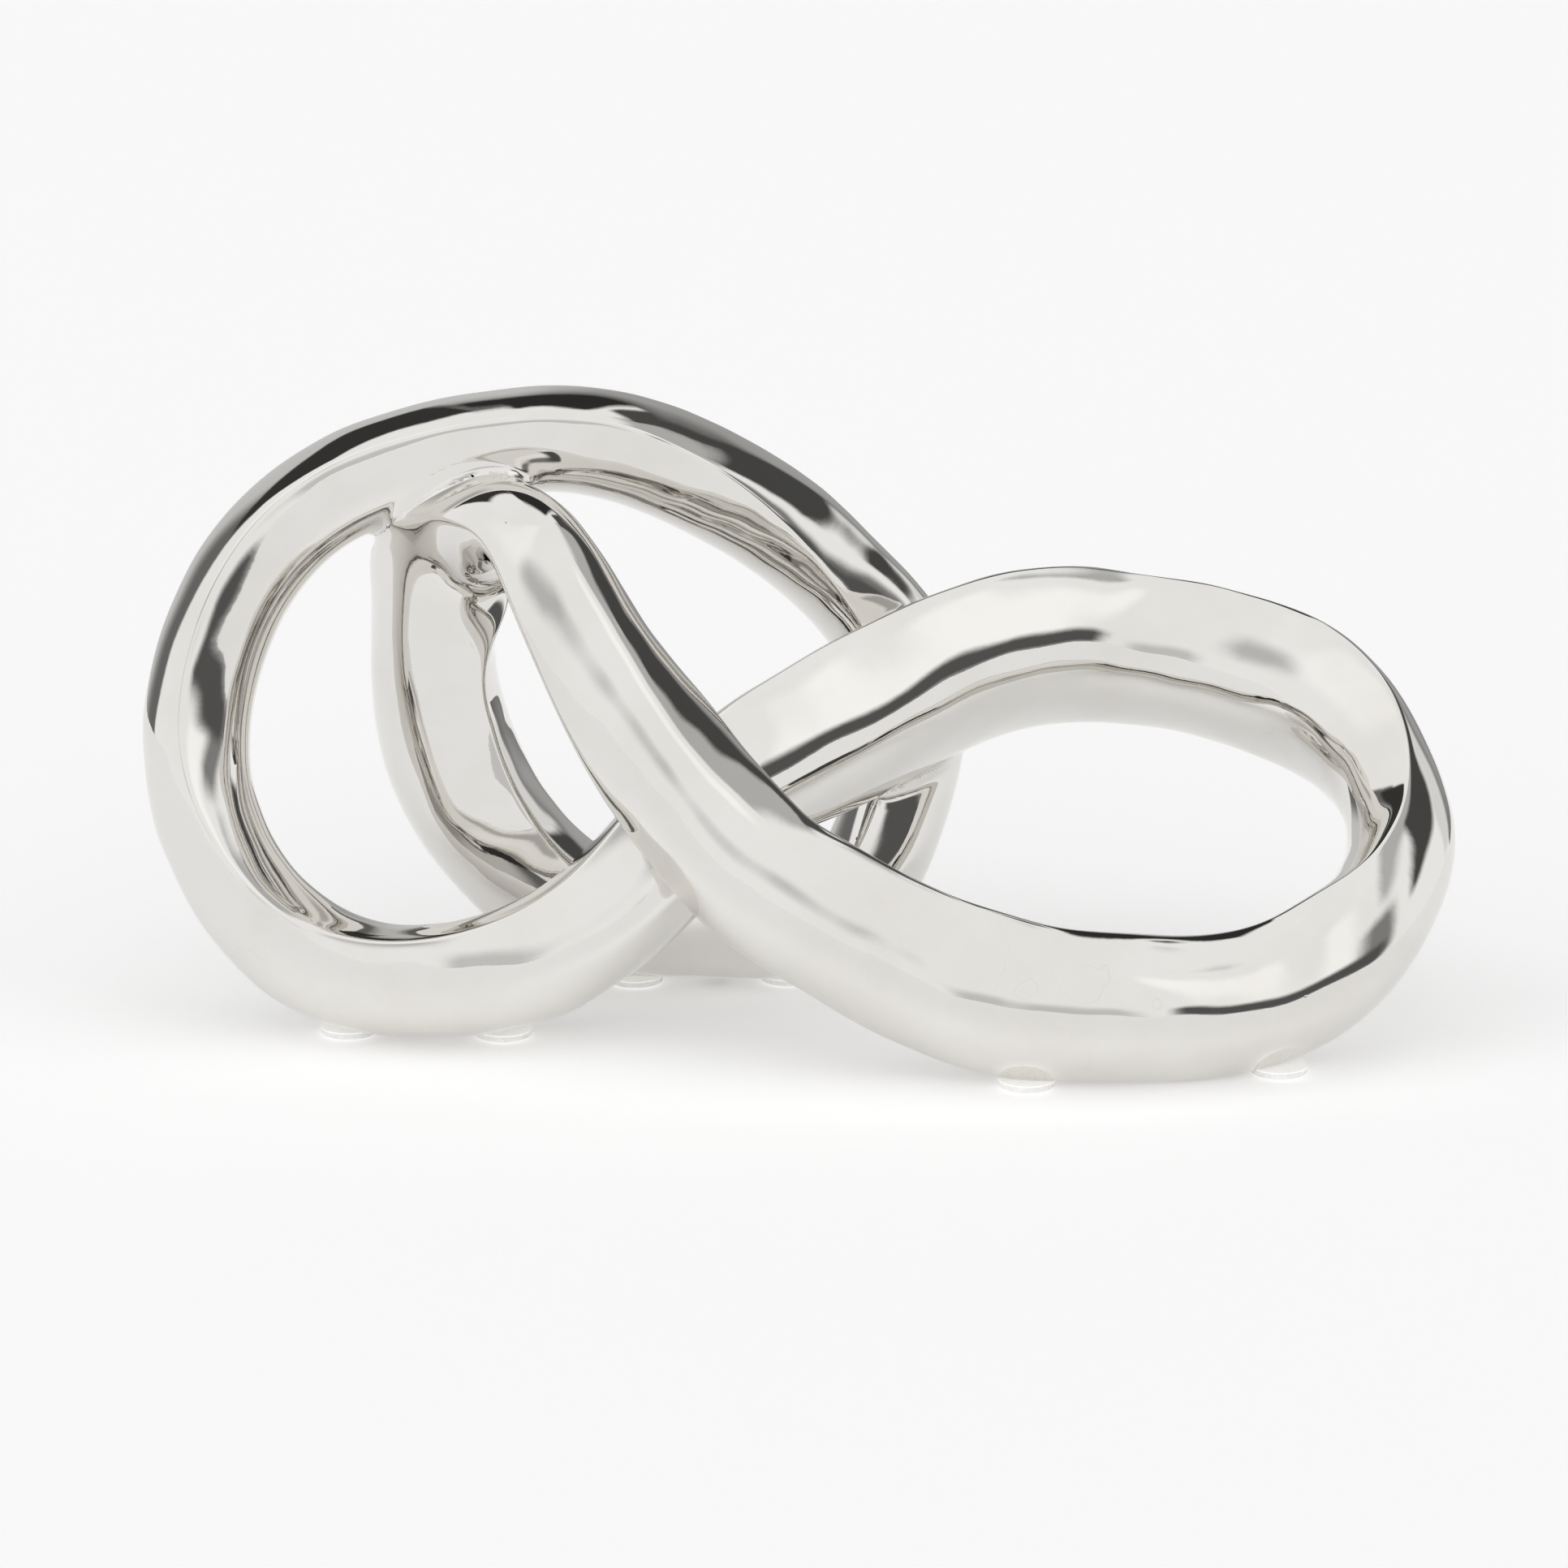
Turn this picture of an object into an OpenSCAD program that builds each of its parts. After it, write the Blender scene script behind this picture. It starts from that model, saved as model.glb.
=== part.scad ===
// Infinity loop sculpture: one closed ceramic strand, tied in a loose knot.
// Millimetres. Z is up, X runs along the sculpture and Y from front to back.
// The origin lies on the table, under the middle of the sculpture.

/* [Overall] */
// Length from end to end
overall_w = 290.8; // [262:0.1:320]
// Depth from front to back
overall_d = 121.9; // [110:0.1:134]
// Height above the table
overall_h = 138.4; // [125:0.1:152]

/* [Strand] */
// Width of the strand from ridge to ridge, where its share is one
strand_w = 33; // [30:0.5:36]
// Depth of the strand through its two faces, where its share is one
strand_d = 25; // [23:0.5:27]
// Wall of the slip cast shell
wall_t = 4; // [3:0.25:5]

/* [Joints] */
// Slip layer that joins two castings end to end
lute_t = 0.8; // [0.4:0.1:2]
// How far the clay fillet runs out past the patch where two strands meet
fillet_r = 0.5; // [0.25:0.25:1]
// Hole in the underside that lets the air out of the hollow strand
vent_d = 5; // [3:0.5:7]

/* [Feet] */
// Diameter of a felt pad
pad_d = 12.7; // [10:0.1:15]
// Thickness of a felt pad
pad_t = 1.5; // [1:0.1:2]
// Adhesive film between a pad and the ceramic
film_t = 0.15; // [0.1:0.05:0.3]
// Ground flat that runs out past the pad
seat_margin = 0.5; // [0.2:0.1:1]
// Clear height of the ceramic above the table
belly_gap = 0.4; // [0.2:0.1:0.6]

/* [Hidden] */

// Stations along the closed strand, about 27 mm apart.
// Place: across (share of the length), back (share of the depth) and up
// (share of the height that the section leaves free).
// Then the direction of the first ridge, the share of the strand's width,
// and the shares of half its depth on the upper and the lower face.
station_shares = [
    // 0: top of the left loop, then down its outer side
    [-0.213, 0.215, 1.008, 0, -0.87, 0.48, 0.88, 0.92, 0.96],
    [-0.356, 0.174, 0.914, -0.15, -0.85, 0.45, 0.88, 0.94, 0.96],
    [-0.437, 0.092, 0.695, -0.22, -0.90, 0.27, 0.91, 0.92, 0.96],
    [-0.460, 0.012, 0.449, -0.15, -0.97, 0.20, 0.91, 0.92, 0.96],
    [-0.437, -0.063, 0.231, 0, -0.85, 0.40, 0.94, 0.96, 0.96],
    // 5: bottom of the left loop
    [-0.371, -0.109, 0.036, 0, -0.75, 0.60, 1.02, 1.00, 1.00],
    [-0.275, -0.160, -0.007, 0, -0.66, 0.75, 1.00, 1.00, 1.00],
    [-0.186, -0.132, 0.033, 0, -0.48, 0.87, 1.07, 1.04, 1.04],
    // 8: up behind the front strand
    [-0.117, -0.068, 0.171, -0.10, -0.38, 0.90, 1.08, 1.08, 1.08],
    [-0.048, 0.001, 0.345, -0.20, -0.35, 0.90, 1.17, 1.08, 1.08],
    [0.041, 0.124, 0.452, -0.25, -0.30, 0.92, 1.26, 1.08, 1.08],
    [0.138, 0.252, 0.552, -0.05, -0.25, 0.96, 1.25, 1.06, 1.06],
    // 12: back of the right loop, then round its end
    [0.244, 0.342, 0.561, 0, -0.20, 0.98, 1.14, 1.04, 1.04],
    [0.351, 0.317, 0.506, 0.10, -0.15, 0.98, 1.12, 1.04, 1.04],
    [0.424, 0.202, 0.420, 0.08, -0.05, 0.98, 1.05, 1.00, 1.00],
    [0.459, 0.025, 0.268, 0, 0.05, 0.99, 0.97, 0.96, 0.96],
    [0.441, -0.142, 0.140, 0.12, 0.10, 0.98, 0.99, 0.97, 0.97],
    [0.401, -0.250, 0.061, 0.05, 0.10, 0.99, 0.97, 1.00, 1.00],
    // 18: front of the right loop
    [0.334, -0.332, 0.000, 0, 0.10, 0.99, 0.97, 1.00, 1.00],
    [0.241, -0.388, 0.002, 0, 0.10, 0.99, 0.98, 1.04, 1.04],
    [0.148, -0.384, 0.013, 0.10, 0.05, 0.98, 1.07, 1.06, 1.06],
    // 21: the front strand climbs to the left
    [0.058, -0.339, 0.116, 0.38, 0, 0.90, 1.05, 1.06, 1.06],
    [-0.028, -0.265, 0.248, 0.55, 0, 0.80, 1.00, 1.06, 1.06],
    [-0.089, -0.191, 0.419, 0.76, 0.18, 0.60, 0.97, 1.00, 1.04],
    [-0.140, -0.118, 0.598, 0.82, 0.60, 0.33, 0.91, 0.88, 0.96],
    [-0.178, -0.048, 0.757, 0.75, 0.65, 0.09, 0.85, 0.80, 0.86],
    // 26: turns down under the top of the left loop
    [-0.217, 0.059, 0.854, 0.74, 0.66, -0.08, 0.77, 0.76, 0.76],
    [-0.265, 0.182, 0.803, 0.87, 0.37, -0.35, 0.91, 0.84, 0.84],
    [-0.284, 0.248, 0.621, 0.70, -0.66, 0, 1.10, 1.02, 1.02],
    [-0.279, 0.272, 0.416, 0.62, -0.78, 0, 1.24, 1.14, 1.14],
    [-0.245, 0.256, 0.203, 0.50, -0.80, 0.30, 1.24, 1.20, 1.20],
    // 31: along the back of the base
    [-0.165, 0.225, 0.024, 0.20, -0.80, 0.50, 1.02, 1.10, 1.10],
    [-0.062, 0.206, 0.004, 0, -0.80, 0.60, 0.97, 0.96, 0.96],
    [0.028, 0.235, 0.028, -0.20, -0.80, 0.50, 0.94, 0.96, 0.96],
    // 34: up behind the right loop and back to the top
    [0.079, 0.324, 0.250, -0.30, -0.95, 0.30, 0.92, 0.98, 0.98],
    [0.086, 0.375, 0.478, -0.30, -0.95, 0.10, 0.92, 1.02, 1.02],
    [0.041, 0.361, 0.671, -0.20, -0.95, 0.10, 0.91, 0.96, 0.98],
    [-0.030, 0.305, 0.845, -0.10, -0.85, 0.30, 0.90, 0.96, 1.02],
    [-0.114, 0.254, 0.971, 0, -0.85, 0.45, 0.89, 0.96, 1.04]
];
count = len(station_shares);

// Places along the strand, counted in stations
crown_to_left_at = 3;
left_to_right_at = 7;
right_to_cross_at = 20.5;
cross_to_back_at = 28;
back_to_crown_at = 37;
vent_at = 32;
pads_at = [5.36, 6.45, 19.7, 17.85, 31.4, 32.55];

// The two places where strands meet, for the saddle at the top,
// the crossing at the front and the crossing at the rear
saddle_at = [39.4, 26.7];
front_crossing_at = [22.8, 8.6];
rear_crossing_at = [10.8, 35.1];

// Stations to each side of a meeting place that a cut or a fillet takes in at least
cut_span = 1.8;
fillet_span = 0.2;

// Radius of the round that two strands meet with, as a share of the strand's depth
face_curve_share = 0.4;

// How round the section is at its first and its second ridge: 1 is an ellipse, 0 a sharp lens
round_shares = [0.25, 0.4];

ring_points = 24;
rings_per_station = 3;
relax_passes = 14;
overrun = 1;
round_fn = 96;
ball_fn = 48;

function unit(v) = v / norm(v);

// The part of v square to the unit vector along
function square_to(v, along) = v - (v * along) * along;

// One station in millimetres: its centre, its ridge direction and its section
function station(s) =
    let (
        ridge = unit([s[3], s[4], s[5]]),
        w = strand_w * s[6],
        upper = strand_d / 2 * s[7],
        lower = strand_d / 2 * s[8],
        across = (upper + lower) / 2 * sqrt(1 - ridge.z * ridge.z),
        reach = norm([w / 2 * ridge.z, across]),
        free = overall_h - belly_gap - 2 * reach
    )
    [[overall_w * s[0], overall_d * s[1], belly_gap + reach + free * s[2]], ridge, [w, upper, lower]];

stations = [for (s = station_shares) station(s)];

// Control points of the closed cubic spline that passes through the points s
function relaxed(s, c, passes) =
    passes == 0 ? c
    : relaxed(s, [for (i = [0:count - 1])
        (6 * s[i] - c[(i + count - 1) % count] - c[(i + 1) % count]) / 4], passes - 1);
function controls(s) = relaxed(s, s, relax_passes);

// The spline with control points c at t stations, and its slope there
function at(c, t) =
    let (i = floor(t) + count, f = t + count - i, g = 1 - f)
    (g * g * g * c[(i - 1) % count]
        + (3 * f * f * f - 6 * f * f + 4) * c[i % count]
        + (3 * g * g * g - 6 * g * g + 4) * c[(i + 1) % count]
        + f * f * f * c[(i + 2) % count]) / 6;
function slope(c, t) =
    let (i = floor(t) + count, f = t + count - i, g = 1 - f)
    (-g * g * c[(i - 1) % count]
        + (3 * f * f - 4 * f) * c[i % count]
        + (4 * g - 3 * g * g) * c[(i + 1) % count]
        + f * f * c[(i + 2) % count]) / 2;

centre_c = controls([for (s = stations) s[0]]);
section_c = controls([for (s = stations) s[2]]);

function centre(t) = at(centre_c, t);
function along(t) = unit(slope(centre_c, t));

// Square to the strand and to its ridges: the direction that the upper face looks in
face_c = controls([for (i = [0:count - 1])
    cross(along(i), unit(square_to(stations[i][1], along(i))))]);
function face(t) = unit(square_to(at(face_c, t), along(t)));

// A point of the section at the angle phi, moved in by the inset
function section(phi, size, inset) =
    let (
        k = cos(phi),
        s = sin(phi),
        rounding = round_shares[0] * (1 + k) / 2 + round_shares[1] * (1 - k) / 2,
        depth = s > 0 ? size[1] - inset : inset - size[2]
    )
    [(size[0] / 2 - inset) * k, depth * (rounding * abs(s) + (1 - rounding) * s * s)];

// The section's outline in place, at t stations
function ring(t, inset, points = ring_points) =
    let (up = face(t), ridge = cross(up, along(t)), size = at(section_c, t))
    [for (k = [0:points - 1])
        let (q = section(k * 360 / points, size, inset))
        centre(t) + q.x * ridge + q.y * up];

// Where the rings of a stretch lie: at its ends and at each shared place between
function ring_places(t0, t1) = concat(
    [t0],
    [for (i = [floor(t0 * rings_per_station) + 1:ceil(t1 * rings_per_station) - 1]) i / rings_per_station],
    [t1]);
function flat(lists) = [for (part = lists) each part];

// Triangles of a wall between rings that follow each other from index first on
function wall_faces(rings, first, outward) = [
    for (j = [0:rings - 2], k = [0:ring_points - 1])
        let (
            a = first + j * ring_points + k,
            b = first + j * ring_points + (k + 1) % ring_points,
            c = a + ring_points,
            d = b + ring_points
        )
        each outward ? [[a, c, b], [b, c, d]] : [[a, b, c], [b, d, c]]
];

// Triangles of the flat rim between an outer ring and an inner ring
function rim_faces(outer, inner, forward) = [
    for (k = [0:ring_points - 1])
        let (
            a = outer + k,
            b = outer + (k + 1) % ring_points,
            c = inner + k,
            d = inner + (k + 1) % ring_points
        )
        each forward ? [[a, c, b], [b, c, d]] : [[a, b, c], [b, d, c]]
];

// Hollow strand from t0 to t1, open at both ends
module shell(t0, t1) {
    places = ring_places(t0, t1);
    rings = len(places);
    inner = rings * ring_points;
    last = inner - ring_points;
    polyhedron(
        points = concat(
            flat([for (t = places) ring(t, 0)]),
            flat([for (t = places) ring(t, wall_t)])),
        faces = concat(
            wall_faces(rings, 0, true),
            wall_faces(rings, inner, false),
            rim_faces(0, inner, false),
            rim_faces(last, inner + last, true)));
}

// The same stretch filled, for cuts and fillets
module core(t0, t1) {
    places = ring_places(t0, t1);
    rings = len(places);
    last = (rings - 1) * ring_points;
    polyhedron(
        points = flat([for (t = places) ring(t, 0)]),
        faces = concat(
            wall_faces(rings, 0, true),
            [[for (k = [0:ring_points - 1]) k]],
            [[for (k = [0:ring_points - 1]) last + ring_points - 1 - k]]));
}

// The filled strand round the place t, between two of the shared ring places
module core_near(t, span) {
    core(
        floor((t - span) * rings_per_station) / rings_per_station,
        ceil((t + span) * rings_per_station) / rings_per_station);
}

// Half of a lute's thickness, counted in stations
function half_lute(t) = lute_t / 2 / norm(slope(centre_c, t));

// The stretch of shell between two lutes
module casting(t0, t1) {
    shell(t0 + half_lute(t0), t1 - half_lute(t1));
}

module lute(t) {
    color("gainsboro") shell(t - half_lute(t), t + half_lute(t));
}

// How far the strand reaches from its centre towards the unit vector way
function reach_to(t, way) =
    let (
        up = face(t),
        ridge = cross(up, along(t)),
        size = at(section_c, t),
        depth = way * up > 0 ? size[1] : size[2]
    )
    norm([size[0] / 2 * (way * ridge), depth * (way * up)]);

// Radius of the patch where two strands meet, from how deep they sink into each other
function patch_r(places) =
    let (
        gap = centre(places[1]) - centre(places[0]),
        way = unit(gap),
        sunk = reach_to(places[0], way) + reach_to(places[1], -way) - norm(gap)
    )
    sqrt(2 * face_curve_share * strand_d * max(0, sunk));

// Clay worked into the crease round the patch where two strands meet
module fillet(places) {
    color("gainsboro") resize([0, 0, 0]) difference() {
        intersection() {
            hull() {
                core_near(places[0], fillet_span);
                core_near(places[1], fillet_span);
            }
            translate((centre(places[0]) + centre(places[1])) / 2)
                sphere(r = patch_r(places) + fillet_r, $fn = ball_fn);
        }
        core_near(places[0], cut_span);
        core_near(places[1], cut_span);
    }
}

// Lowest point of the strand's outline at t stations
function keel(t) =
    let (outline = ring(t, 0, round_fn), low = min([for (p = outline) p.z]))
    [for (p = outline) if (p.z == low) p][0];

// The place on the table under the keel
function foot(t) = let (p = keel(t)) [p.x, p.y, 0];

// Space ground off the belly above a pad
module seat(t) {
    translate(foot(t) - [0, 0, overrun])
        cylinder(d = pad_d + 2 * seat_margin, h = overrun + pad_t + film_t, $fn = round_fn);
}

module vent() {
    translate(foot(vent_at) - [0, 0, overrun])
        cylinder(d = vent_d, h = overrun + belly_gap + strand_d / 2, $fn = ring_points);
}

module pad(t) {
    color("whitesmoke") translate(foot(t))
        cylinder(d = pad_d, h = pad_t, $fn = round_fn);
}

module film(t) {
    color("lightgray") translate(foot(t) + [0, 0, pad_t])
        cylinder(d = pad_d, h = film_t, $fn = round_fn);
}

module crown_arc_casting() {
    color("silver") casting(back_to_crown_at, crown_to_left_at + count);
}

module left_loop_casting() {
    color("silver") resize([0, 0, 0]) difference() {
        casting(crown_to_left_at, left_to_right_at);
        seat(pads_at[0]);
        seat(pads_at[1]);
    }
}

module right_loop_casting() {
    color("silver") resize([0, 0, 0]) difference() {
        casting(left_to_right_at, right_to_cross_at);
        core_near(front_crossing_at[0], cut_span);
        seat(pads_at[2]);
        seat(pads_at[3]);
    }
}

module cross_strand_casting() {
    color("silver") resize([0, 0, 0]) difference() {
        casting(right_to_cross_at, cross_to_back_at);
        core_near(saddle_at[0], cut_span);
    }
}

module back_loop_casting() {
    color("silver") resize([0, 0, 0]) difference() {
        casting(cross_to_back_at, back_to_crown_at);
        core_near(rear_crossing_at[0], cut_span);
        seat(pads_at[4]);
        seat(pads_at[5]);
        vent();
    }
}

crown_arc_casting();
left_loop_casting();
right_loop_casting();
cross_strand_casting();
back_loop_casting();
lute(crown_to_left_at);  // crown_to_left_lute
lute(left_to_right_at);  // left_to_right_lute
lute(right_to_cross_at);  // right_to_cross_lute
lute(cross_to_back_at);  // cross_to_back_lute
lute(back_to_crown_at);  // back_to_crown_lute
fillet(saddle_at);  // saddle_fillet
fillet(front_crossing_at);  // front_crossing_fillet
fillet(rear_crossing_at);  // rear_crossing_fillet
pad(pads_at[0]);  // pad_left_outer
pad(pads_at[1]);  // pad_left_inner
pad(pads_at[2]);  // pad_front_inner
pad(pads_at[3]);  // pad_front_outer
pad(pads_at[4]);  // pad_back_left
pad(pads_at[5]);  // pad_back_right
film(pads_at[0]);  // film_left_outer
film(pads_at[1]);  // film_left_inner
film(pads_at[2]);  // film_front_inner
film(pads_at[3]);  // film_front_outer
film(pads_at[4]);  // film_back_left
film(pads_at[5]);  // film_back_right
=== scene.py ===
# Infinity loop sculpture: one closed strand of mirror glazed ceramic on felt pads.
# Metres; the shapes are worked out in millimetres and scaled once, when a mesh is made.
import bpy
import math
import numpy as np
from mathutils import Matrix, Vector


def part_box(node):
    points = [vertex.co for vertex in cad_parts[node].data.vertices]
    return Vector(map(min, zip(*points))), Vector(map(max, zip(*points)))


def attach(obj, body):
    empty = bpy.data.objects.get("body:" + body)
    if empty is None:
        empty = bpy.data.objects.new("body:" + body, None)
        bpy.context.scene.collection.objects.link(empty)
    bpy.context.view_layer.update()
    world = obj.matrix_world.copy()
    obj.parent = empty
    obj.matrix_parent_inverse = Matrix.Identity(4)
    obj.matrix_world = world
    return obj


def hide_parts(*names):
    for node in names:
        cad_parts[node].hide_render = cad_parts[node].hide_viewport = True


mm = 0.001
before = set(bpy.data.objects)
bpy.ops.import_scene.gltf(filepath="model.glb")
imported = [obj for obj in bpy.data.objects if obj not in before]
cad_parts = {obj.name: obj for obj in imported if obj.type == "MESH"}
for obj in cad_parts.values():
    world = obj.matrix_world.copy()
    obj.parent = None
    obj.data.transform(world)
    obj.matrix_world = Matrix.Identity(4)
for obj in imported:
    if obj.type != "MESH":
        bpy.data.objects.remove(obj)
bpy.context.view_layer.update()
print("frame loaded,", len(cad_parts), "nodes")


# arrays and meshes
def unit(v):
    # each vector over its own length
    return v / np.linalg.norm(v, axis=-1, keepdims=True)


def dot(a, b):
    # the sum of the products, kept as a column
    return (a * b).sum(-1, keepdims=True)


def squareTo(v, along):
    # what is left of v without its part along the unit vector
    return v - dot(v, along) * along


def gridFaces(rows, columns):
    # quads between rows of points that close round their columns
    i, k = np.meshgrid(np.arange(rows - 1), np.arange(columns), indexing="ij")
    a = i * columns + k
    b = i * columns + (k + 1) % columns
    return np.stack([a, b, b + columns, a + columns], -1).reshape(-1, 4)


def makePiece(name, points, material, nodes, normals=None):
    # rings of points joined by quads, with a flat face at each end, as one object at the origin
    rows, around = points.shape[:2]
    firstRing = list(range(around))[::-1]
    lastRing = list(range((rows - 1) * around, rows * around))
    mesh = bpy.data.meshes.new(name)
    faces = gridFaces(rows, around).tolist() + [firstRing, lastRing]
    mesh.from_pydata(points.reshape(-1, 3) * mm, [], faces)
    mesh.polygons.foreach_set("use_smooth", np.ones(len(mesh.polygons), bool))
    mesh.update()
    if normals is not None:
        mesh.normals_split_custom_set_from_vertices(normals.reshape(-1, 3))
    mesh.materials.append(material)
    piece = bpy.data.objects.new(name, mesh)
    bpy.context.scene.collection.objects.link(piece)
    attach(piece, "root")
    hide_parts(*nodes)
    return piece


def nodeDisc(node):
    # middle, radius, bottom and top of a round CAD node, in mm
    low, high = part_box(node)
    x, y, radius = (low.x + high.x) / 2, (low.y + high.y) / 2, (high.x - low.x) / 2
    return x / mm, y / mm, radius / mm, low.z / mm, high.z / mm


# shader nodes
class Socket:
    # an output socket to calculate with: + - and * on it add Math nodes to its tree
    def __init__(self, tree, out=None):
        self.tree, self.out = tree, out

    def add(self, kind, settings=None, inputs=None, out=0):
        # any node: its settings first, then the values or links of its sockets
        made = self.tree.nodes.new(kind)
        for key, value in (settings or {}).items():
            setattr(made, key, value)
        for key, value in (inputs or {}).items():
            if isinstance(value, Socket):
                self.tree.links.new(value.out, made.inputs[key])
            else:
                made.inputs[key].default_value = value
        return Socket(self.tree, made.outputs[out] if len(made.outputs) else None)

    def math(self, operation, a, b=0.0):
        return self.add("ShaderNodeMath", {"operation": operation}, {0: a, 1: b})

    def __add__(self, other):
        return self.math("ADD", self, other)

    def __sub__(self, other):
        return self.math("SUBTRACT", self, other)

    def __rsub__(self, other):
        return self.math("SUBTRACT", other, self)

    def __mul__(self, other):
        return self.math("MULTIPLY", self, other)

    __radd__ = __add__
    __rmul__ = __mul__

    def clamped(self, low, high):
        # 0 at low and below, 1 at high and above
        return self.add("ShaderNodeMapRange", {"clamp": True}, {
            "Value": self, "From Min": low, "From Max": high})

    def noise(self, scale, detail, rough):
        # cloudy noise from 0 to 1 at these coordinates
        return self.add("ShaderNodeTexNoise", {}, {
            "Vector": self, "Scale": scale, "Detail": detail, "Roughness": rough})

    def mixed(self, first, second):
        # the first colour where this mask is 0, the second where it is 1
        first, second = (c if isinstance(c, Socket) else c + (1,) for c in (first, second))
        return self.add("ShaderNodeMix", {"data_type": "RGBA"}, {"Factor": self, 6: first, 7: second}, 2)

    def relief(self):
        # the normal of a surface raised by this height in mm
        return self.add("ShaderNodeBump", {}, {"Strength": 1.0, "Distance": mm, "Height": self})


def newMaterial(name):
    # an empty material and its Object coordinates
    material = bpy.data.materials.new(name)
    material.use_nodes = True
    material.node_tree.nodes.clear()
    return material, Socket(material.node_tree).add("ShaderNodeTexCoord", out="Object")


def finishMaterial(place, inputs):
    # a principled shader with these values and links, shown on the surface
    shader = place.add("ShaderNodeBsdfPrincipled", {}, inputs)
    place.add("ShaderNodeOutputMaterial", {}, {"Surface": shader})


# camera
cameraLook = {
    "target": (-3.4, -1.83, 54.5),   # mm
    "elevation": 15.0,               # degrees above the table
    "distance": 1250.0,              # mm
    "lens": 129.97, "sensor": 36,    # mm
    "clip": (0.05, 40),              # m
}


def makeCamera(look):
    # looks along +Y at the target from the front, turned down by the elevation
    angle = math.radians(look["elevation"])
    back = Vector((0, -math.cos(angle), math.sin(angle)))
    data = bpy.data.cameras.new("photoCamera")
    data.sensor_width, data.lens = look["sensor"], look["lens"]
    data.clip_start, data.clip_end = look["clip"]
    camera = bpy.data.objects.new("photoCamera", data)
    camera.location = (Vector(look["target"]) + back * look["distance"]) * mm
    camera.rotation_mode = "QUATERNION"
    camera.rotation_quaternion = (-back).to_track_quat("-Z", "Y")
    bpy.context.scene.collection.objects.link(camera)
    bpy.context.scene.camera = camera


makeCamera(cameraLook)
print("camera placed")


# the strand's path and section
strand = {
    "length": 290.8, "depth": 121.9, "height": 138.4,   # mm, overall
    "width": 33.0, "thickness": 25.0,                    # mm, section where its shares are one
    "bellyGap": 0.4,                                     # mm above the table
    "roundShares": (0.25, 0.4),                          # at each ridge: 1 is an ellipse, 0 a sharp lens
    "seams": (3, 7, 20.5, 28, 37),                       # stations where the castings are joined
    "seamWidth": 0.8,                                    # mm
    "ringsPerStation": 48, "pointsAround": 148,
    "insideFrame": (0.9965, 0.9945, 0.9966),             # keeps the smooth surface within the faceted frame
}

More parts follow.
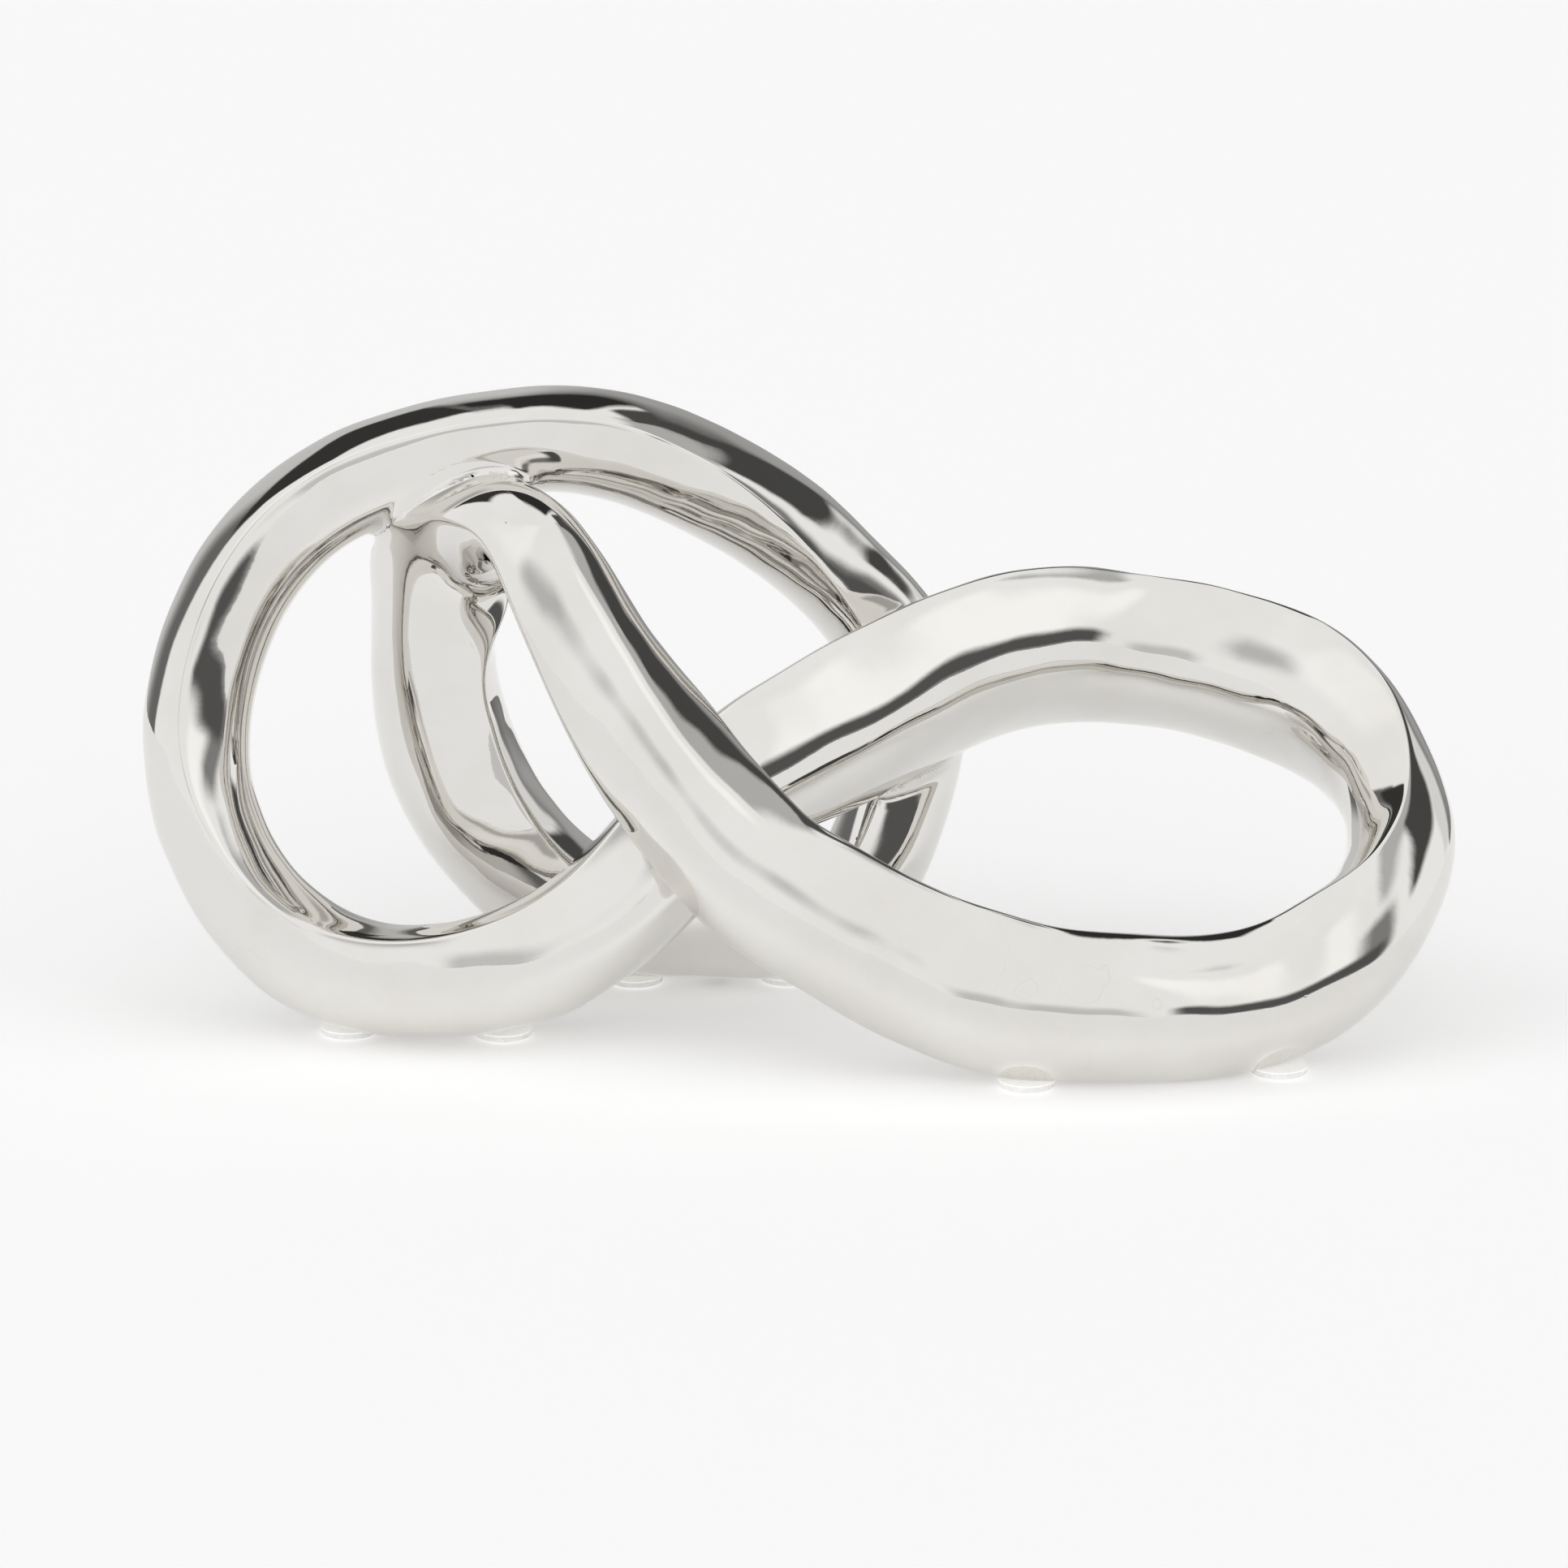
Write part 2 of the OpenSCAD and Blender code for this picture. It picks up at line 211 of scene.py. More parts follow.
# Place along, back and up, then the first ridge's direction, the width and both half depths, all as shares
stationShares = np.array([
    (-0.213, 0.215, 1.008, 0, -0.87, 0.48, 0.88, 0.92, 0.96),   # 0: top of the left loop
    (-0.356, 0.174, 0.914, -0.15, -0.85, 0.45, 0.88, 0.94, 0.96),
    (-0.437, 0.092, 0.695, -0.22, -0.90, 0.27, 0.91, 0.92, 0.96),
    (-0.460, 0.012, 0.449, -0.15, -0.97, 0.20, 0.91, 0.92, 0.96),
    (-0.437, -0.063, 0.231, 0, -0.85, 0.40, 0.94, 0.96, 0.96),
    (-0.371, -0.109, 0.036, 0, -0.75, 0.60, 1.02, 1.00, 1.00),   # 5: bottom of the left loop
    (-0.275, -0.160, -0.007, 0, -0.66, 0.75, 1.00, 1.00, 1.00),
    (-0.186, -0.132, 0.033, 0, -0.48, 0.87, 1.07, 1.04, 1.04),
    (-0.117, -0.068, 0.171, -0.10, -0.38, 0.90, 1.08, 1.08, 1.08),   # 8: up behind the front strand
    (-0.048, 0.001, 0.345, -0.20, -0.35, 0.90, 1.17, 1.08, 1.08),
    (0.041, 0.124, 0.452, -0.25, -0.30, 0.92, 1.26, 1.08, 1.08),
    (0.138, 0.252, 0.552, -0.05, -0.25, 0.96, 1.25, 1.06, 1.06),
    (0.244, 0.342, 0.561, 0, -0.20, 0.98, 1.14, 1.04, 1.04),   # 12: back of the right loop
    (0.351, 0.317, 0.506, 0.10, -0.15, 0.98, 1.12, 1.04, 1.04),
    (0.424, 0.202, 0.420, 0.08, -0.05, 0.98, 1.05, 1.00, 1.00),
    (0.459, 0.025, 0.268, 0, 0.05, 0.99, 0.97, 0.96, 0.96),
    (0.441, -0.142, 0.140, 0.12, 0.10, 0.98, 0.99, 0.97, 0.97),
    (0.401, -0.250, 0.061, 0.05, 0.10, 0.99, 0.97, 1.00, 1.00),
    (0.334, -0.332, 0.000, 0, 0.10, 0.99, 0.97, 1.00, 1.00),   # 18: front of the right loop
    (0.241, -0.388, 0.002, 0, 0.10, 0.99, 0.98, 1.04, 1.04),
    (0.148, -0.384, 0.013, 0.10, 0.05, 0.98, 1.07, 1.06, 1.06),
    (0.058, -0.339, 0.116, 0.38, 0, 0.90, 1.05, 1.06, 1.06),   # 21: the front strand climbs
    (-0.028, -0.265, 0.248, 0.55, 0, 0.80, 1.00, 1.06, 1.06),
    (-0.089, -0.191, 0.419, 0.76, 0.18, 0.60, 0.97, 1.00, 1.04),
    (-0.140, -0.118, 0.598, 0.82, 0.60, 0.33, 0.91, 0.88, 0.96),
    (-0.178, -0.048, 0.757, 0.75, 0.65, 0.09, 0.85, 0.80, 0.86),
    (-0.217, 0.059, 0.854, 0.74, 0.66, -0.08, 0.77, 0.76, 0.76),   # 26: turns down under the top
    (-0.265, 0.182, 0.803, 0.87, 0.37, -0.35, 0.91, 0.84, 0.84),
    (-0.284, 0.248, 0.621, 0.70, -0.66, 0, 1.10, 1.02, 1.02),
    (-0.279, 0.272, 0.416, 0.62, -0.78, 0, 1.24, 1.14, 1.14),
    (-0.245, 0.256, 0.203, 0.50, -0.80, 0.30, 1.24, 1.20, 1.20),
    (-0.165, 0.225, 0.024, 0.20, -0.80, 0.50, 1.02, 1.10, 1.10),   # 31: along the back of the base
    (-0.062, 0.206, 0.004, 0, -0.80, 0.60, 0.97, 0.96, 0.96),
    (0.028, 0.235, 0.028, -0.20, -0.80, 0.50, 0.94, 0.96, 0.96),
    (0.079, 0.324, 0.250, -0.30, -0.95, 0.30, 0.92, 0.98, 0.98),   # 34: up behind the right loop
    (0.086, 0.375, 0.478, -0.30, -0.95, 0.10, 0.92, 1.02, 1.02),
    (0.041, 0.361, 0.671, -0.20, -0.95, 0.10, 0.91, 0.96, 0.98),
    (-0.030, 0.305, 0.845, -0.10, -0.85, 0.30, 0.90, 0.96, 1.02),
    (-0.114, 0.254, 0.971, 0, -0.85, 0.45, 0.89, 0.96, 1.04),
])
count = len(stationShares)
splineCorrections = 14   # each one halves what is left of the error


def splineControls(values):
    # control points of the closed cubic B-spline through the values, by repeated correction
    c = values.copy()
    for correction in range(splineCorrections):
        c = (6 * values - np.roll(c, 1, 0) - np.roll(c, -1, 0)) / 4
    return c


def splineAt(c, t):
    # each place's four neighbours, weighed by the cubic B-spline's basis
    i, f = np.floor(t).astype(int), (t - np.floor(t))[:, None]
    g = 1 - f
    return (g ** 3 * c[(i - 1) % count] + (3 * f ** 3 - 6 * f ** 2 + 4) * c[i % count]
            + (3 * g ** 3 - 6 * g ** 2 + 4) * c[(i + 1) % count] + f ** 3 * c[(i + 2) % count]) / 6


def slopeAt(c, t):
    # the same with the basis's slopes
    i, f = np.floor(t).astype(int), (t - np.floor(t))[:, None]
    g = 1 - f
    return (-g * g * c[(i - 1) % count] + (3 * f * f - 4 * f) * c[i % count]
            + (4 * g - 3 * g * g) * c[(i + 1) % count] + f * f * c[(i + 2) % count]) / 2


def makePath(s, shares):
    # shares to millimetres: a section is raised by its own reach below its centre
    ridges = unit(shares[:, 3:6])
    halfDepths = s["thickness"] / 2 * shares[:, 7:9]
    sizes = np.column_stack([s["width"] * shares[:, 6], halfDepths])
    across = halfDepths.mean(1) * np.sqrt(1 - ridges[:, 2] ** 2)
    reach = np.hypot(sizes[:, 0] / 2 * ridges[:, 2], across)
    free = s["height"] - s["bellyGap"] - 2 * reach
    centres = np.column_stack([
        s["length"] * shares[:, 0], s["depth"] * shares[:, 1], s["bellyGap"] + reach + free * shares[:, 2]])
    path = {"centre": splineControls(centres), "size": splineControls(sizes)}
    along = unit(slopeAt(path["centre"], np.arange(count, dtype=float)))
    path["face"] = splineControls(np.cross(along, unit(squareTo(ridges, along))))
    return path


path = makePath(strand, stationShares)


def strandFrame(t):
    # centre, direction, the upper face's direction, the first ridge's direction and the section's size
    along = unit(slopeAt(path["centre"], t))
    up = unit(squareTo(splineAt(path["face"], t), along))
    return splineAt(path["centre"], t), along, up, np.cross(up, along), splineAt(path["size"], t)


def roundShare(k):
    # the ellipse's share, which goes from the first ridge's at k = 1 to the second's at k = -1
    first, second = strand["roundShares"]
    return first * (1 + k) / 2 + second * (1 - k) / 2


def faceDepth(k, s):
    # a face's depth as a share: part ellipse, which rounds the ridges, and part parabola
    return roundShare(k) * np.abs(s) + (1 - roundShare(k)) * s * s


def strandPoints(t, turn):
    # half the width times cos, and the face's half depth times a mix of |sin| and sin squared
    centre, along, up, ridge, size = strandFrame(t)
    k, s = np.cos(turn)[None], np.sin(turn)[None]
    across = size[:, :1] / 2 * k
    deep = np.where(s > 0, size[:, 1:2], -size[:, 2:3]) * faceDepth(k, s)
    return centre[:, None] + across[..., None] * ridge[:, None] + deep[..., None] * up[:, None]


nearest = {
    "samples": 140,       # places tried along the centre line
    "corrections": 2,     # steps from the best of them to the foot of the perpendicular
    "step": 0.02,         # mm, for the level's slopes
    "flattest": 1e-9,     # least slope, so that nothing is divided by zero
}


def strandDistance(points, t0, t1):
    # the nearest place on the centre line, then the section's own formula over its slope
    t = np.linspace(t0, t1, nearest["samples"])
    centre, along = strandFrame(t)[:2]
    place = t[((centre ** 2).sum(1) - 2 * points @ centre.T).argmin(1)]
    for correction in range(nearest["corrections"]):
        centre, along = strandFrame(place)[:2]
        perStation = np.linalg.norm(slopeAt(path["centre"], place), axis=1)
        place = place + dot(points - centre, along)[:, 0] / perStation
    centre, along, up, ridge, size = strandFrame(place)
    x, y = dot(points - centre, ridge)[:, 0], dot(points - centre, up)[:, 0]

    def level(x, y):
        # 1 on the surface, less inside it: the section's formula solved for its sine
        k = np.clip(2 * x / size[:, 0], -1, 1)
        deep, share = np.where(y > 0, size[:, 1], size[:, 2]), roundShare(k)
        sine = (np.sqrt(share ** 2 + 4 * (1 - share) * np.abs(y) / deep) - share) / (2 * (1 - share))
        return np.hypot(2 * x / size[:, 0], sine)

    step = nearest["step"]
    slopeX = (level(x + step, y) - level(x - step, y)) / (2 * step)
    slopeY = (level(x, y + step) - level(x, y - step)) / (2 * step)
    steep = np.hypot(slopeX, slopeY) + nearest["flattest"]
    outward = (slopeX[:, None] * ridge + slopeY[:, None] * up) / steep[:, None]
    return (level(x, y) - 1) / steep, outward


# the glaze's slow waves
glazeWaves = {
    "lengths": (46.0, 22.0, 11.0),       # mm
    "heights": (0.075, 0.042, 0.013),    # mm, each wave's
    "spread": (0.8, 1.25),               # how far a wave's length strays, as shares
    "number": 9,                         # waves of each length
    "seed": 7,
}


def waveHeight(points, w):
    # the sum of plane waves in seeded directions
    random = np.random.default_rng(w["seed"])
    total = np.zeros(points.shape[:-1])
    for length, height in zip(w["lengths"], w["heights"]):
        for wave in range(w["number"]):
            direction = unit(random.normal(size=3)) * 2 * np.pi / (length * random.uniform(*w["spread"]))
            total += height * np.sin(points @ direction + random.uniform(0, 2 * np.pi))
    return total


# where strands meet, clay is worked into the crease
meetings = {
    "places": ((39.4, 26.7), (22.8, 8.6), (10.8, 35.1)),   # stations: top saddle, front, rear
    "blend": (5.0, 4.5, 5.0),                               # mm, how far each crease is filled
    "span": 1.9,                                            # stations to each side
    "halvings": 9,                                          # of the interval in which a point's lift is sought
    "underShare": 0.4,                                      # lift of points that the other strand covers
}


def blendCrease(points, normals, t, own, other, blend, m):
    # Lifts points along their normals to where the smooth minimum of the two strands' distances is zero.
    # A lifted point's own distance is its lift, and the minimum takes off it the square of
    # (blend - difference of the distances), over 4 * blend.
    span = m["span"]
    rows = np.nonzero(np.abs((t - own + count / 2) % count - count / 2) < span)[0]
    flatPoints, flatNormals = points[rows].reshape(-1, 3), normals[rows].reshape(-1, 3)
    far = strandDistance(flatPoints, other - span, other + span)[0]
    some = np.nonzero(far < blend)[0]
    p, n = flatPoints[some], flatNormals[some]

    def otherStrand(lift):
        return strandDistance(p + n * lift[:, None], other - span, other + span)

    low, high = np.zeros(len(some)), np.full(len(some), blend / 4)
    covered = otherStrand(high)[0] < high
    for halving in range(m["halvings"]):
        middle = (low + high) / 2
        away = otherStrand(middle)[0]
        filled = np.clip(blend - (away - middle), 0, None) ** 2 / (4 * blend) > middle
        low, high = np.where(filled, middle, low), np.where(filled, high, middle)
    lift = np.where(covered, m["underShare"] * np.clip(far[some], 0, blend / 2), (low + high) / 2)
    away, towards = otherStrand(lift)
    weight = np.clip((blend - (away - lift)) / (2 * blend), 0, 0.5)[:, None]   # half each in the crease
    flatPoints[some] = p + n * lift[:, None]
    flatNormals[some] = unit((1 - weight) * n + weight * towards)
    points[rows] = flatPoints.reshape(len(rows), -1, 3)
    normals[rows] = flatNormals.reshape(len(rows), -1, 3)


def gridNormals(points, t):
    # the cross product of the grid's slopes round and along, with rings repeated past its ends to close it
    extra = 3
    longer = np.concatenate([points[-extra:], points, points[:extra]])
    places = np.concatenate([t[-extra:] - count, t, t[:extra] + count])
    alongWay = np.gradient(longer, places, axis=0)[extra:-extra]
    roundWay = np.roll(points, -1, 1) - np.roll(points, 1, 1)
    return unit(np.cross(roundWay, alongWay))


padNames = ("left_outer", "left_inner", "front_inner", "front_outer", "back_left", "back_right")
seats = {"margin": 0.5, "height": 1.65}               # mm: flat ground round each pad, and its height
vent = {"at": 32.0, "width": 5.0, "depth": 6.0}       # station, and mm


def grindSeats(points, normals):
    # what lies low over a pad is brought up to the seat's level
    for name in padNames:
        x, y, radius = nodeDisc("pad_" + name)[:3]
        away = np.hypot(points[..., 0] - x, points[..., 1] - y)
        over = (away < radius + seats["margin"]) & (points[..., 2] < seats["height"])
        points[..., 2] = np.where(over, seats["height"], points[..., 2])
        normals[over] = (0, 0, -1)


def openVent(points, turn):
    # what lies within the hole's width, at its ring's lowest point, moves up by its depth
    ring = strandPoints(np.array([vent["at"]]), turn)[0]
    x, y = ring[ring[:, 2].argmin(), :2]
    away = np.hypot(points[..., 0] - x, points[..., 1] - y)
    inside = (away < vent["width"] / 2) & (points[..., 2] < vent["depth"])
    points[..., 2] += np.where(inside, vent["depth"], 0)


# the pieces from seam edge to seam edge, each with the CAD nodes that it stands for
strandParts = (
    ("crownLeftSeam", ("crown_to_left_lute",)),
    ("leftLoop", ("left_loop_casting",)),
    ("leftRightSeam", ("left_to_right_lute",)),
    ("rightLoop", ("right_loop_casting",)),
    ("rightCrossSeam", ("right_to_cross_lute",)),
    ("crossStrand", ("cross_strand_casting", "saddle_fillet", "front_crossing_fillet")),
    ("crossBackSeam", ("cross_to_back_lute",)),
    ("backLoop", ("back_loop_casting", "rear_crossing_fillet")),
    ("backCrownSeam", ("back_to_crown_lute",)),
    ("crownArc", ("crown_arc_casting",)),
)
placeDigits = 6   # decimals of a ring's place, so that a seam's edge is found again


def seamEdges(s):
    # both edges of each seam: half its width over the path's length per station, to each side
    seams = np.array(s["seams"], float)
    half = s["seamWidth"] / 2 / np.linalg.norm(slopeAt(path["centre"], seams), axis=1)
    return np.round(np.sort(np.concatenate([seams - half, seams + half])), placeDigits)


def makeStrand(s, material):
    # one closed grid for the whole strand, cut into its pieces at the seams' edges
    edges = seamEdges(s)
    even = np.arange(count * s["ringsPerStation"]) / s["ringsPerStation"]
    t = np.unique(np.round(np.concatenate([even, edges]), placeDigits))
    turn = np.arange(s["pointsAround"]) * 2 * np.pi / s["pointsAround"]
    points = strandPoints(t, turn)
    points += gridNormals(points, t) * waveHeight(points, glazeWaves)[..., None]
    normals = gridNormals(points, t)
    print("strand worked out,", len(t), "rings of", len(turn))
    for (one, two), blend in zip(meetings["places"], meetings["blend"]):
        blendCrease(points, normals, t, one % count, two, blend, meetings)
        blendCrease(points, normals, t, two, one, blend, meetings)
    print("creases filled")
    points *= s["insideFrame"]
    grindSeats(points, normals)
    openVent(points, turn)
    cuts = np.searchsorted(t, edges)
    ends = np.append(cuts[1:], cuts[0] + len(t))
    for (name, nodes), first, last in zip(strandParts, cuts, ends):
        rows = np.arange(first, last + 1) % len(t)
        piece = makePiece(name, points[rows], material, nodes, normals[rows])
        print(name, "has", len(piece.data.polygons), "faces")


# The glaze. A noise is its scale per metre, detail and roughness; levels are where a mask begins
# and where it is full
glaze = {
    # the dark colour: dirt on the hairlines, painted shade in the pits
    "silver": (0.785, 0.77, 0.74), "clouded": (0.74, 0.72, 0.685), "lineDirtAndPitShade": (0.09, 0.085, 0.08),
    "roughness": (0.022, 0.075),                                     # clear and clouded places
    "markRoughness": 0.15,                                           # added in pits and on hairlines
    "cloudNoise": (26.0, 4.0, 0.6), "cloudLevels": (0.45, 0.72),
    "peelNoise": (310.0, 2.0, 0.5), "peelHeight": 0.010,             # mm, fine orange peel
    "swellNoise": (62.0, 1.0, 0.5), "swellHeight": 0.05,             # mm, broader swells
    "lineNoise": (34.0, 3.0, 0.45), "lineLevels": (0.0005, 0.0030),  # hairlines follow the noise's middle
    "linePatchNoise": (19.0, 1.0, 0.5), "linePatchLevels": (0.58, 0.68),
    "lineDark": 0.05, "pitShade": 0.8,                                # share of the dark colour: dirt on hairlines, painted shade in pits
    "pitEvery": 16.0, "pitRadius": 0.45, "pitDeep": 0.12,            # mm
    "pitFloor": 0.3,                                                 # share of the radius that is flat
    "pitLevels": (0.62, 0.64),                                       # chances above these have a pit
}


def makeMirrorGlaze(g):
    # bright silver with fine peel, broad swells, sparse pits darkened with painted shade, faint hairlines and
    # clouded places
    material, place = newMaterial("mirrorGlaze")
    cloud = place.noise(*g["cloudNoise"]).clamped(*g["cloudLevels"])
    line = place.math("ABSOLUTE", place.noise(*g["lineNoise"]) - 0.5)
    patch = place.noise(*g["linePatchNoise"]).clamped(*g["linePatchLevels"])
    hairline = (1 - line.clamped(*g["lineLevels"])) * patch
    cell = {"Scale": 1 / (g["pitEvery"] * mm), "Randomness": 1.0, "Vector": place}
    distance = place.add("ShaderNodeTexVoronoi", {"feature": "F1"}, cell)
    chance = place.add("ShaderNodeSeparateColor", {}, {
        "Color": place.add("ShaderNodeTexVoronoi", {"feature": "F1"}, cell, "Color")})
    rim = g["pitRadius"] / g["pitEvery"]
    pit = (1 - distance.clamped(g["pitFloor"] * rim, rim)) * chance.clamped(*g["pitLevels"])
    # darker colour: a little dirt on the hairlines and painted shade in the pits
    hairlineDirtAndPitShade = place.math("MAXIMUM", hairline * g["lineDark"], pit * g["pitShade"])
    clear, dull = g["roughness"]
    peel = place.noise(*g["peelNoise"]) * g["peelHeight"]
    swell = place.noise(*g["swellNoise"]) * g["swellHeight"]
    finishMaterial(place, {
        "Base Color": hairlineDirtAndPitShade.mixed(cloud.mixed(g["silver"], g["clouded"]), g["lineDirtAndPitShade"]),
        "Roughness": cloud * (dull - clear) + clear + hairlineDirtAndPitShade * g["markRoughness"],
        "Metallic": 1.0, "Normal": (peel + swell - pit * g["pitDeep"]).relief()})
    return material


makeStrand(strand, makeMirrorGlaze(glaze))


# felt pads and their adhesive
feltPad = {
    "edge": 0.45,                                        # mm, rounding of the cut edge
    "fray": 0.14,                                        # mm, how far the cut edge wanders
    "lift": 0.02,                                        # mm, keeps the fibres off the table and the adhesive
    "waves": range(3, 34), "waveFall": 0.7,              # round the edge, and how fast finer ones fade
    "wavePhase": 6.3,                                    # radians, the most that a wave is turned
    "waveSize": 3.5,                                     # brings the waves' sum to about one
    "fibres": 0.25,                                      # share of the fray that is single fibres
    "fade": 6,                                           # power by which the fray fades towards the middle
    "around": 160, "flatRings": 7, "edgeRings": 6,
    "inner": 0.02,                                       # first ring's share of the flat radius
    "seed": 11,
    "wool": (0.93, 0.93, 0.92), "shaded": (0.80, 0.80, 0.79),
    "fleckNoise": (900.0, 3.0, 0.7), "fleckLevels": (0.35, 0.7), "fleckHeight": 0.12,
    "fibreNoise": (3200.0, 2.0, 0.8), "fibreHeight": 0.05,
    "roughness": 0.95, "specular": 0.2, "sheen": 0.3,
    "paintedGlow": 0.10, "paintedGlowColour": (1, 1, 0.98, 1),         # painted light: an even glow that lifts the felt out of the strand's shade
}
adhesive = {
    "clear": (0.94, 0.94, 0.92), "bubbly": (0.86, 0.86, 0.84),
    "bubbleNoise": (1400.0, 1.0, 0.5), "bubbleLevels": (0.5, 0.65),
    "roughness": (0.3, 0.5),                             # clear and bubbly places
    # painted light: an even glow on the film
    "paintedGlow": 0.30, "paintedGlowColour": (1, 1, 0.98, 1),
}


def makeFelt(f):
    # pressed white wool: mottled, with short fibres in the relief, and a painted glow
    material, place = newMaterial("padFelt")
    fleck = place.noise(*f["fleckNoise"])
    height = fleck * f["fleckHeight"] + place.noise(*f["fibreNoise"]) * f["fibreHeight"]
    finishMaterial(place, {
        "Base Color": fleck.clamped(*f["fleckLevels"]).mixed(f["wool"], f["shaded"]),
        "Roughness": f["roughness"], "Specular IOR Level": f["specular"], "Sheen Weight": f["sheen"],
        # painted light: an even glow on the felt
        "Emission Color": f["paintedGlowColour"], "Emission Strength": f["paintedGlow"], "Normal": height.relief()})
    return material


def makeAdhesive(a):
    # clear film with faint bubbles, and a painted glow
    material, place = newMaterial("padAdhesive")
    bubble = place.noise(*a["bubbleNoise"]).clamped(*a["bubbleLevels"])
    clear, dull = a["roughness"]
    finishMaterial(place, {
        "Base Color": bubble.mixed(a["clear"], a["bubbly"]), "Roughness": bubble * (dull - clear) + clear,
        # painted light: the film glows evenly
        "Emission Color": a["paintedGlowColour"], "Emission Strength": a["paintedGlow"]})
    return material


def makePad(name, f, seed, material):
    # a profile from the middle of the underside round the edge to the middle of the top, turned about its axis
    x, y, radius, low, high = nodeDisc("pad_" + name)
    low, high, edge = low + f["lift"], high - f["lift"], f["edge"]
    corner = np.linspace(0, np.pi / 2, f["edgeRings"])
    out = radius - f["fray"] - edge
    flat = (np.linspace(f["inner"], 1, f["flatRings"]) * out)[:-1]
    level = np.ones(len(flat))
    r = np.concatenate([flat, out + edge * np.sin(corner), out + edge * np.cos(corner), flat[::-1]])
    z = np.concatenate([
        low * level, low + edge * (1 - np.cos(corner)), high - edge * (1 - np.sin(corner)), high * level])
    random = np.random.default_rng(seed)
    turn = np.arange(f["around"]) * 2 * np.pi / f["around"]
    wander = sum(
        random.normal() / n ** f["waveFall"] * np.sin(n * turn + random.uniform(0, f["wavePhase"]))
        for n in f["waves"])
    fibres = random.normal(size=(len(r), f["around"])) * f["fibres"]
    fray = (wander[None] / f["waveSize"] + fibres).clip(-1, 1) * f["fray"]
    r = r[:, None] + fray * (r[:, None] / radius) ** f["fade"]
    z = np.repeat(z[:, None], f["around"], 1)
    points = np.stack([x + r * np.cos(turn), y + r * np.sin(turn), z], -1)
    makePiece("felt_" + name, points, material, ("pad_" + name,))


padFelt, padAdhesive = makeFelt(feltPad), makeAdhesive(adhesive)
for number, name in enumerate(padNames):
    makePad(name, feltPad, feltPad["seed"] + number, padFelt)
    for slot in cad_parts["film_" + name].material_slots:
        slot.link = "OBJECT"
        slot.material = padAdhesive
print("pads made")


# floor, room and light
studio = {
    "tableBack": 0.5,        # m behind the sculpture, where the mirror stops seeing the table
    "tableReach": 8.0,       # m
    "tableDrop": 0.0002,     # m below the pads
    "tableColour": (0.93, 0.93, 0.93, 1), "tableRoughness": 0.9, "tableSpecular": 0.1,
    "tableGlow": 0.27,       # lifts the table towards white
    "white": 1.00,           # light of the tent's walls
}

# Soft panels of the tent, by direction: azimuth from straight behind and towards the right, then
# elevation, each as middle and half size in degrees, how soft the edge is, and the panel's light
tentPanels = (
    (-120, 22, 62, 24, 10, 1.10),    # bright ceiling at the left
    (130, 8, 38, 24, 5, 1.15),       # gap of light at the right
    (76, 31, 52, 11, 4, 0.52),       # shaded right wall
    (-9, 57, 16, 28, 2, 0.16),       # back of the room, seen through the tent's opening
    (-20, 24, 10, 31, 12, 0.62),     # its lit middle
    (22, 18, 16, 20, 8, 0.40),       # and its lit right
    (-39, 24, 46, 13, 2, 0.04),      # dark above it, at the left
    (5, 21, 55, 13, 3, 0.03),        # and in the middle
    (41, 11, 50, 8, 2, 0.08),        # and at the right
    (64, 24, 33, 12, 3, 0.07),       # dark curtain at the opening's right
    (52, 9, 10, 10, 3, 0.80),        # window
    (109, 9, 19, 17, 5, 0.25),       # stand at the right
    (126, 21, 7, 8, 4, 0.10),        # dark strip low at the right front
    (-150, 16, 34, 11, 9, 0.58),     # grey cloth at the front left
    (175, 14, 0, 12, 6, 0.66),       # grey patch low in front
)


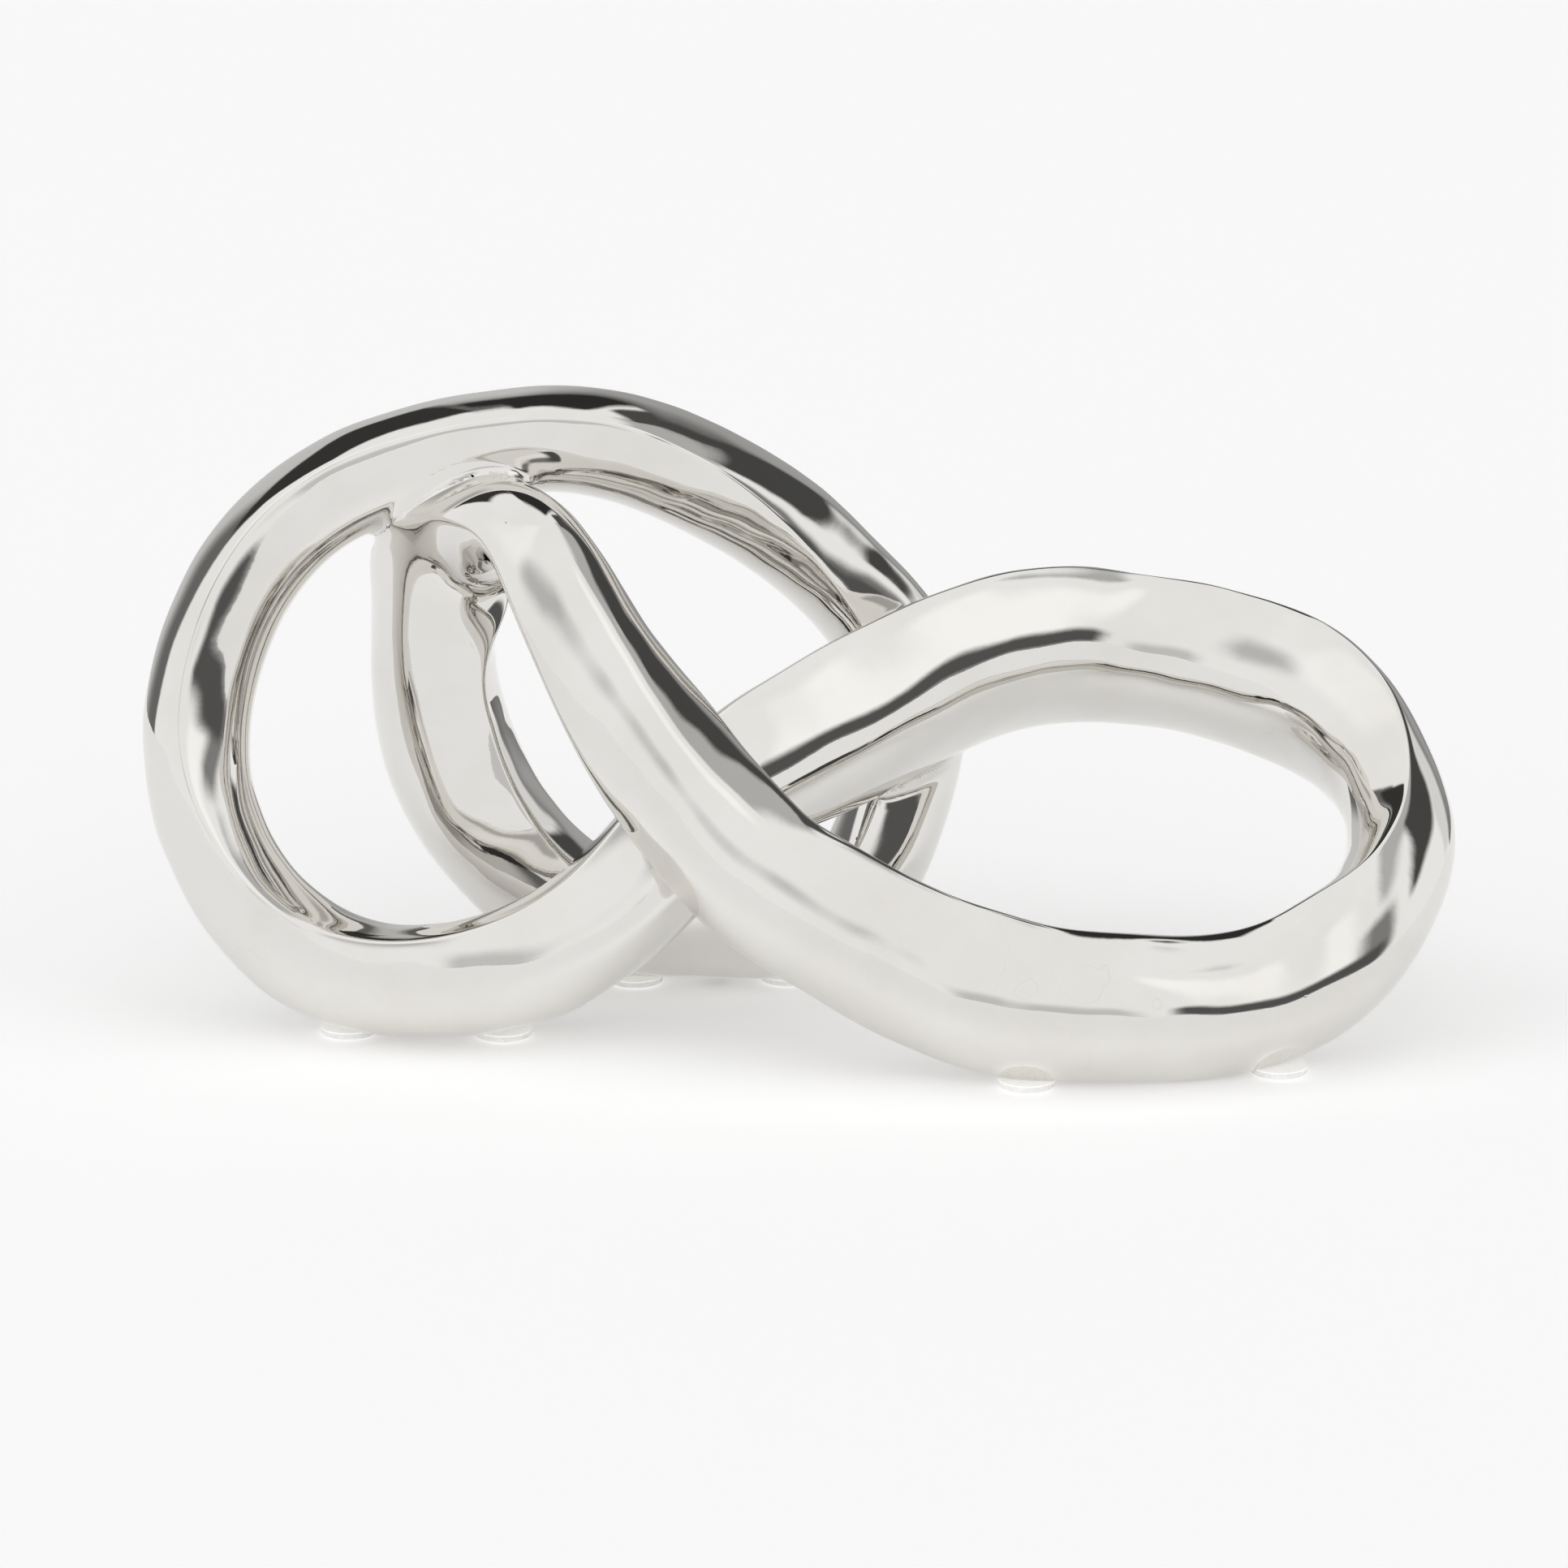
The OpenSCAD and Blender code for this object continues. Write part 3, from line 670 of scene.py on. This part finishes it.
def makeFloor(look):
    # the table near the sculpture, and the same table further back, which the mirror doesn't see
    reach, back, low = look["tableReach"], look["tableBack"], -look["tableDrop"]
    material, place = newMaterial("paleTable")
    finishMaterial(place, {
        "Base Color": look["tableColour"], "Roughness": look["tableRoughness"],
        "Specular IOR Level": look["tableSpecular"],
        "Emission Color": (1, 1, 1, 1), "Emission Strength": look["tableGlow"]})
    for name, start, end in (("tableNear", -reach, back), ("tableFar", back, reach)):
        mesh = bpy.data.meshes.new(name)
        corners = [(-reach, start, low), (reach, start, low), (reach, end, low), (-reach, end, low)]
        mesh.from_pydata(corners, [], [(0, 1, 2, 3)])
        mesh.materials.append(material)
        floor = bpy.data.objects.new(name, mesh)
        floor.visible_glossy = (name == "tableNear")
        bpy.context.scene.collection.objects.link(floor)


def makeTent(look, panels):
    # a white tent round the sculpture, with its panels painted one over the other by direction
    world = bpy.data.worlds.new("studioTent")
    bpy.context.scene.world = world
    world.use_nodes = True
    world.node_tree.nodes.clear()
    tree = Socket(world.node_tree)
    way = tree.add("ShaderNodeTexCoord", out="Generated")
    x, y, z = (tree.add("ShaderNodeSeparateXYZ", {}, {0: way}, part) for part in range(3))
    azimuth = tree.math("ARCTAN2", x, y) * math.degrees(1)
    elevation = tree.math("ARCSINE", z) * math.degrees(1)
    light = look["white"]
    for middle, half, up, tall, soft, shade in panels:
        aside = tree.add("ShaderNodeMath", {"operation": "WRAP"}, {
            0: azimuth - middle, 1: 180.0, 2: -180.0})
        side = 1 - tree.math("ABSOLUTE", aside).clamped(half - soft, half + soft)
        level = 1 - tree.math("ABSOLUTE", elevation - up).clamped(tall - soft, tall + soft)
        mask = side * level
        mask = mask * mask * (3 - 2 * mask)
        light = mask * shade + (1 - mask) * light
    seen = tree.add("ShaderNodeLightPath", out="Is Camera Ray")   # the camera sees plain white
    background = tree.add("ShaderNodeBackground", {}, {
        "Color": (1, 1, 1, 1), "Strength": seen + (1 - seen) * light})
    tree.add("ShaderNodeOutputWorld", {}, {"Surface": background})


makeFloor(studio)
makeTent(studio, tentPanels)
bpy.context.scene.view_settings.view_transform = "Standard"
print("studio lit")
